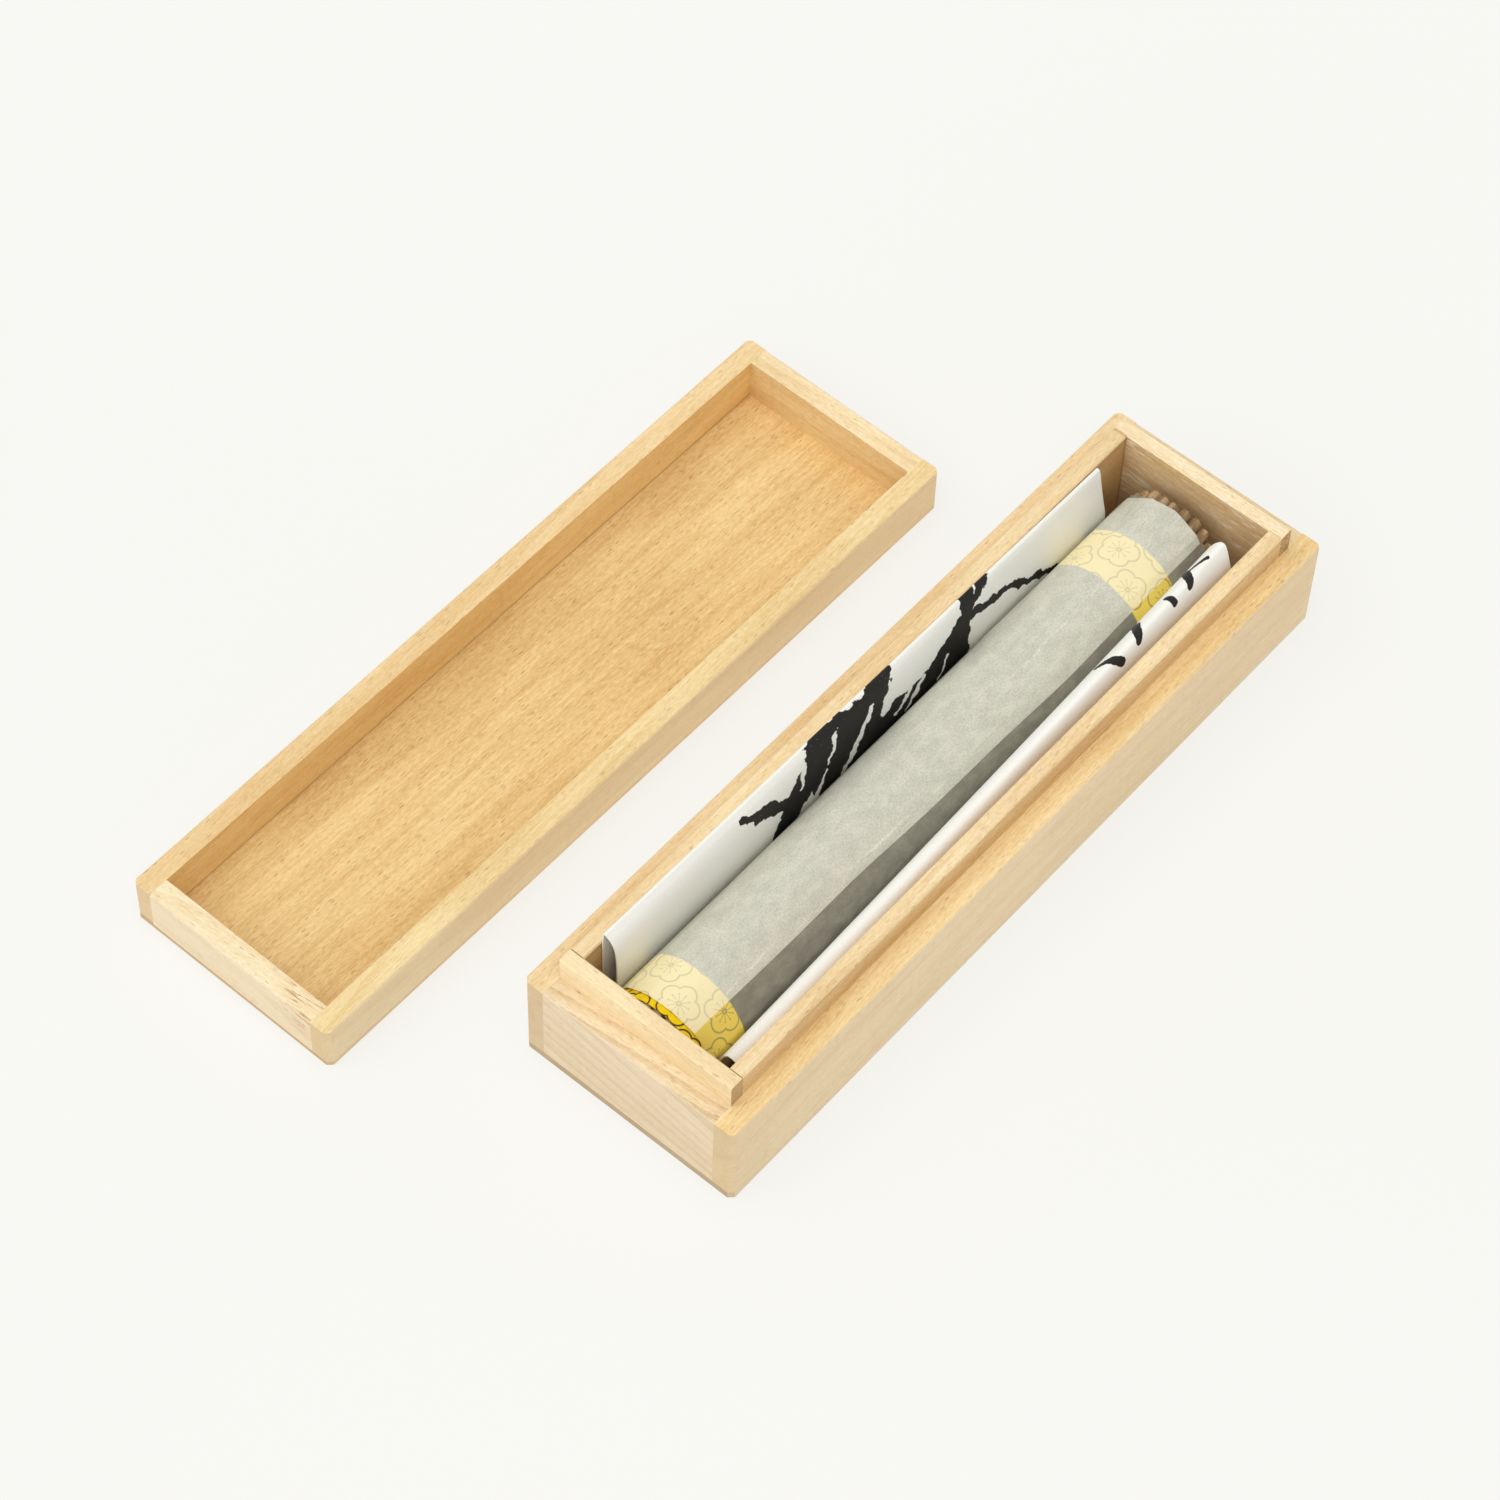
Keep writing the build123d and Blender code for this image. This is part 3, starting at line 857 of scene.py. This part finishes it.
def tissue_roll(material):
    """a = start - phi, phi from 0 to one turn plus the lap;
    R = sticks + paper + lap height * smoothstep(phi near one turn) + flats - dips. The flats fade
    out below, where the wrapper holds the roll round."""
    low, high = (np.array(c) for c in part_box("tissue_wrap"))
    phi = np.linspace(0.0, 2 * np.pi + LAP_SPAN, TISSUE_GRID[1])
    y = np.linspace(0.0, 1.0, TISSUE_GRID[0])
    share, turn = np.meshgrid(y, phi, indexing="ij")
    angle = LAP_EDGE + LAP_SPAN - turn
    # Both cut ends run a little wavy round the roll, and the inner turn stands out at the far end.
    near = low[1] - 0.3 * MM * np.sin(angle - 0.3) + 0.12 * MM * np.sin(3 * angle)
    far = high[1] + 0.1 * MM - 0.45 * MM * np.cos(2.6 * (angle - np.radians(78)))
    far += 0.35 * MM * np.clip((2 * np.pi - turn) / 0.3, 0.0, 1.0)
    along = near + (far - near) * share
    lap = np.clip((turn - 2 * np.pi + 0.2) / 0.2, 0.0, 1.0)
    lap = lap * lap * (3 - 2 * lap)
    edge = np.radians(np.interp(share, *EDGE_ALONG))
    edge += math.radians(0.5) * np.sin(along / MM / 6.0)
    angle = angle + (turn / turn.max()) ** 12 * (edge - LAP_EDGE)
    free = np.interp(share, *FREE_ALONG)
    degrees = np.degrees(angle) + 3.0 * np.sin((along - high[1]) / MM / 31.0)
    height = free * STICKS_RADIUS * flats(degrees)
    height *= 1 - np.clip(-np.sin(angle) / 0.2, 0.0, 1.0)
    radius = STICKS_RADIUS + TISSUE_RISE + LAP_RISE * lap + height
    radius -= over_sticks(angle, SINK)
    x = AXIS[0] + radius * np.cos(angle)
    z = AXIS[2] + radius * np.sin(angle)
    places = np.stack([along / MM, angle * STICKS_RADIUS / MM, turn / (2 * np.pi)], -1)
    middle = np.stack([x, along, z], -1)
    made = thin_sheet("rolled_tissue", middle, places, TISSUE_THICK, material)
    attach(made, "bundle")
    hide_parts("tissue_wrap")
    return made


tissue_roll(tissue_finish())

# %% [markdown]
# ## The wrapper
# A sheet of thick white paper cradles the roll. Its left flap stands up against the box's wall,
# where it is folded over and comes back down, and its right flap curls over beside the roll.
# The sheet is a profile carried along Y: control points (x, z) in mm of the near end and of the
# far end are mixed, and a smooth curve runs through them.

# %% The wrapper's shape
PAPER_THICK = 0.28 * MM
CRADLE = 10.98 * MM
PER_SPAN = 6
WRAPPER_ROWS = 100
BACK_NEAR = ((-15.5, 8.0), (-15.52, 16.0), (-15.52, 23.0), (-15.5, 27.2), (-15.45, 28.3))
BACK_FAR = ((-15.5, 8.0), (-15.52, 14.5), (-15.52, 21.0), (-15.5, 25.0), (-15.45, 26.0))
FOLD_NEAR = ((-15.3, 29.35), (-14.95, 29.6), (-14.5, 29.3))
FOLD_FAR = ((-15.3, 26.55), (-15.0, 26.7), (-14.7, 26.4))
LEFT_NEAR = ((-13.55, 28.5), (-12.75, 26.8), (-12.42, 24.0), (-12.36, 20.8), (-12.34, 17.2))
LEFT_FAR = ((-14.4, 25.3), (-14.05, 23.2), (-13.6, 21.0), (-13.05, 18.6), (-12.45, 16.0))
RIGHT_NEAR = (
    (9.82, 15.9), (10.5, 18.0), (11.3, 19.7), (12.3, 20.5), (13.5, 20.3), (14.7, 19.2), (15.3, 17.6)
)
RIGHT_FAR = (
    (9.72, 16.6), (9.62, 20.2), (9.68, 24.2), (10.9, 27.4), (12.4, 29.2), (13.4, 28.4), (14.9, 23.8)
)
RIDGE_POINT = 4


def through_points(control, per_span):
    """Catmull-Rom curve through control[k]: on a span, p = half of (2 b + (c - a) t
    + (2 a - 5 b + 4 c - d) t^2 + (3 b - a - 3 c + d) t^3)."""
    before, after = 2 * control[:1] - control[1:2], 2 * control[-1:] - control[-2:-1]
    padded = np.concatenate([before, control, after])
    a, b, c, d = padded[:-3], padded[1:-2], padded[2:-1], padded[3:]
    t = (np.arange(per_span) / per_span).reshape(-1, *([1] * (control.ndim - 1)))
    spans = []
    for p, q, r, s in zip(a, b, c, d):
        square, cube = 2 * p - 5 * q + 4 * r - s, 3 * q - p - 3 * r + s
        spans.append(0.5 * (2 * q + (r - p) * t + square * t**2 + cube * t**3))
    return np.concatenate([*spans, control[-1:]])


def cradle_points():
    """Points of the half circle under the roll, every 15 degrees from 180 to 360."""
    angle = np.radians(np.arange(180, 361, 15))
    return np.stack([AXIS[0] + CRADLE * np.cos(angle), AXIS[2] + CRADLE * np.sin(angle)], -1)


def wrapper_middle():
    """The grid of the sheet's middle, [along y, down the profile], and its flat places: along,
    down from the left fold, and past the right flap's ridge."""
    low, high = (np.array(c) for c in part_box("printed_wrapper"))
    ends = [
        np.concatenate([np.array(left) * MM, cradle_points(), np.array(right) * MM])
        for left, right in (
            (BACK_NEAR + FOLD_NEAR + LEFT_NEAR, RIGHT_NEAR),
            (BACK_FAR + FOLD_FAR + LEFT_FAR, RIGHT_FAR),
        )
    ]
    share = np.linspace(0.0, 1.0, WRAPPER_ROWS)
    mixed = share[:, None, None]
    control = ends[0][None] * (1 - mixed) + ends[1][None] * mixed
    profile = through_points(control.transpose(1, 0, 2), PER_SPAN).transpose(1, 0, 2)
    y = low[1] + (high[1] - low[1]) * share
    grid_y = np.broadcast_to(y[:, None], profile.shape[:2])
    middle = np.stack([profile[..., 0], grid_y, profile[..., 1]], -1)
    steps = np.linalg.norm(np.diff(middle[:, :, [0, 2]], axis=1), axis=-1)
    down = np.concatenate([np.zeros((len(share), 1)), np.cumsum(steps, axis=1)], axis=1)
    top = (len(BACK_NEAR) + 1) * PER_SPAN
    ridge = (len(BACK_NEAR + FOLD_NEAR + LEFT_NEAR) + len(cradle_points()) + RIDGE_POINT) * PER_SPAN
    past = down - down[:, ridge : ridge + 1]
    down -= down[:, top : top + 1]
    return middle, np.stack([grid_y / MM, down / MM, past / MM], -1)


# %% [markdown]
# ## A brush painting for the wrapper
# The sheet is printed with a branch painted in black ink with a broad dry brush. Each stroke is
# a tapered capsule, a distance to a line minus a radius that runs from one end's to the other's,
# and the ink is wherever the least of those distances is below zero. A few thin slits, where the
# dry brush missed the paper, are taken out again. Noise moves the point first, so edges are ragged.


# %% A brush stroke as a node group
def stroke_group():
    """d = |P - (A + h (B - A))| - mix(Ra, Rb, h), h = clamp((P - A).(B - A) / |B - A|^2)."""
    rows = [(label, "Vector") for label in ("Point", "From", "To")]
    rows += [("Start", "Float"), ("End", "Float")]
    tree, given, out = new_group("brush_stroke", rows, [("Distance", "Float")])
    point, start, stop, first, last = (given.outputs[k] for k in range(5))
    way = vectors(tree, "SUBTRACT", stop, start)
    off = vectors(tree, "SUBTRACT", point, start)
    h = maths(tree, "DIVIDE", dot(tree, off, way), dot(tree, way, way))
    h = least_of(tree, greatest(tree, h, 0.0), 1.0)
    scaled = add(tree, "VectorMath", {0: way, "Scale": h}, operation="SCALE").outputs["Vector"]
    away = length(tree, vectors(tree, "SUBTRACT", off, scaled))
    wide = plus(tree, first, times(tree, minus(tree, last, first), h))
    feed(tree, out.inputs[0], minus(tree, away, wide))
    return tree


STROKE = stroke_group()
# Each stroke: from (along, down), to (along, down), brush radius at each end, all in mm. The
# trunk and its slits are measured down from the left fold, the twigs from the right flap's ridge.
STROKES = (
    ((-28, 18.0), (-22, 9.5), 2.6, 3.4),
    ((-22, 9.5), (-15, 4.0), 3.6, 4.8),
    ((-15, 4.5), (-4, 5.5), 5.4, 5.0),
    ((-4, 6.0), (4, -1.0), 4.0, 1.8),
    ((-14, 11.0), (3, 12.5), 4.2, 4.6),
    ((3, 12.5), (21, 12.0), 4.4, 3.6),
    ((15, 10.5), (23, 5.0), 2.8, 1.8),
    ((22, 12.0), (24, 5.5), 2.0, 1.5),
    ((24, 5.5), (26, -0.5), 1.6, 2.0),
    ((24, 4.5), (35, 6.5), 1.2, 0.9),
    ((35, 6.5), (50, 13.0), 0.9, 0.75),
    ((-22, 10.0), (-29, 5.0), 1.5, 1.4),
    ((-29, 5.0), (-36, 2.5), 1.9, 0.6),
    ((26, 3.0), (31, -0.5), 1.0, 0.8),
)
SLITS = (
    ((-21, 7.5), (-19, 1.0), 0.4, 0.9),
    ((-18, 15.0), (-14, 9.5), 0.75, 0.35),
    ((-10, 14.0), (-5, 9.0), 0.6, 1.1),
    ((-5, 9.0), (-1.5, 3.5), 1.0, 0.5),
    ((2, 8.0), (6, 3.5), 1.4, 1.1),
    ((-13.5, 8.0), (-11, 2.5), 0.3, 0.8),
    ((4.5, 12.0), (8.5, 8.5), 0.35, 0.7),
    ((7, 13.5), (12, 9.0), 0.35, 0.65),
    ((16, 12.5), (18.5, 9.5), 0.3, 0.5),
)
TWIGS = (
    ((53.0, 1.2), (55.4, -2.4), 0.7, 0.95),
    ((55.4, -2.4), (56.6, -6.8), 0.9, 0.6),
    ((55.2, -2.2), (59.2, -0.2), 0.5, 0.5),
    ((38.4, 1.2), (41.2, -2.4), 0.7, 1.0),
    ((41.2, -2.4), (42.0, -6.8), 0.95, 0.6),
    ((48.6, 1.2), (48.2, -0.9), 0.75, 0.5),
    ((33.5, 1.6), (30.0, -2.2), 0.9, 0.7),
)


def ink_of_strokes(tree, point, strokes):
    """The least distance to any of the strokes."""
    least = None
    for start, stop, first, last in strokes:
        values = (point, (*start, 0.0), (*stop, 0.0), first, last)
        one = add(tree, "Group", dict(enumerate(values)), node_tree=STROKE).outputs[0]
        least = one if least is None else least_of(tree, least, one)
    return least


# %% The wrapper's finish
BENDS, FRAYS = (3.6, 3.2, 0.0), (0.9, 0.9, 0.0)
INK_EDGE, PRINT_END = 0.06, (-0.7, -0.5)


def wander(tree, place, scale, detail, reach):
    """An offset that wanders over the sheet: reach * (the noise's colour - 0.5)."""
    made = add(tree, "TexNoise", {"Vector": place, "Scale": scale, "Detail": detail})
    off = vectors(tree, "SUBTRACT", made.outputs["Color"], (0.5, 0.5, 0.5))
    return stretch(tree, off, reach)


def wrapper_finish():
    """White paper, then ink where the least stroke distance is below 0, less the dry streaks.
    The print ends at the left fold, so the layer behind it stays white."""
    material, tree, shader = new_material("printed_white_paper")
    along, down, past = split(tree, flat_place(tree))
    place = join(tree, along, down)
    moved = wander(tree, place, 0.32, 2.0, BENDS)
    frayed = wander(tree, place, 1.6, 3.0, FRAYS)
    point = vectors(tree, "ADD", place, vectors(tree, "ADD", moved, frayed))
    strokes = ink_of_strokes(tree, point, STROKES)
    steady = stretch(tree, frayed, (0.5, 0.5, 0.0))
    twigs = ink_of_strokes(tree, vectors(tree, "ADD", join(tree, along, past), steady), TWIGS)
    ink = ease(tree, least_of(tree, strokes, twigs), -INK_EDGE, INK_EDGE, 1.0, 0.0)
    dry = ease(tree, ink_of_strokes(tree, point, SLITS), -INK_EDGE, INK_EDGE, 1.0, 0.0)
    specks = noise(tree, place, 4.5, 1.0)
    dry = greatest(tree, dry, ease(tree, specks, 0.76, 0.8))
    ink = times(tree, ink, minus(tree, 1.0, dry))
    ink = times(tree, ink, ease(tree, down, *PRINT_END))
    fibre = noise(tree, place, 2.6, 4.0, 0.6)
    paper = blend(tree, ease(tree, fibre, 0.3, 0.7), colour(252, 252, 247), colour(246, 246, 239))
    shade = blend(tree, ink, paper, colour(30, 27, 25))
    worn = ease(tree, ink, 0.0, 1.0, 0.62, 0.5)
    finish(tree, shader, shade, plus(tree, worn, times(tree, fibre, 0.06)), 0.35)
    bumped(tree, shader, fibre, 0.03 * MM)
    return material


# %% Fold the wrapper
middle, places = wrapper_middle()
wrapper = thin_sheet("folded_wrapper", middle, places, PAPER_THICK, wrapper_finish())
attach(wrapper, "wrapper")
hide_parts("printed_wrapper")

# %% [markdown]
# ## Floor and light
# The box stands on a plain white table that glows a little, as a light table does, in even, soft
# light. One broad lamp stands high on the near side, a little to the left, so tops and near faces
# are bright and the right sides are calmer. A sun with a very wide disc gives that same soft light
# all over the floor, with no bright spot.


# %% Floor, sky and lamp
def set_floor(size=6.0):
    """One square of 2 x 2 cells at z = 0, just under the boards."""
    line = np.linspace(-size / 2, size / 2, 3)
    x, y = np.meshgrid(line, line, indexing="ij")
    points = np.stack([x, y, np.full_like(x, -0.00002)], -1).reshape(-1, 3)
    material, tree, shader = new_material("pale_floor")
    place = add(tree, "TexCoord").outputs["Object"]
    cloud = noise(tree, place, 3.0, 2.0)
    shade = blend(tree, ease(tree, cloud, 0.3, 0.7), (0.23, 0.23, 0.225, 1), (0.24, 0.24, 0.235, 1))
    finish(tree, shader, shade, 0.9, 0.0)
    shader.inputs["Emission Color"].default_value = (1.0, 1.0, 0.965, 1.0)
    shader.inputs["Emission Strength"].default_value = 0.7
    floor = put_in_scene("floor", points, quads(np.arange(9).reshape(3, 3)).tolist(), material)


LAMP_TILT, LAMP_SPREAD = (28, -5, 0), 90


def set_light(sky=0.61, lamp=1.5):
    """An even white sky, and a broad sun turned by LAMP_TILT degrees from straight above."""
    world = bpy.data.worlds.new("soft_sky")
    world.use_nodes = True
    back = world.node_tree.nodes["Background"]
    back.inputs["Color"].default_value = (1.0, 1.0, 1.0, 1.0)
    back.inputs["Strength"].default_value = sky
    bpy.context.scene.world = world
    data = bpy.data.lights.new("broad_lamp", "SUN")
    data.energy, data.angle = lamp, math.radians(LAMP_SPREAD)
    data.color = (1.0, 0.97, 0.92)
    sun = bpy.data.objects.new("broad_lamp", data)
    sun.rotation_euler = [math.radians(a) for a in LAMP_TILT]
    bpy.context.scene.collection.objects.link(sun)


set_floor()
set_light()
bpy.context.scene.view_settings.view_transform = "Standard"
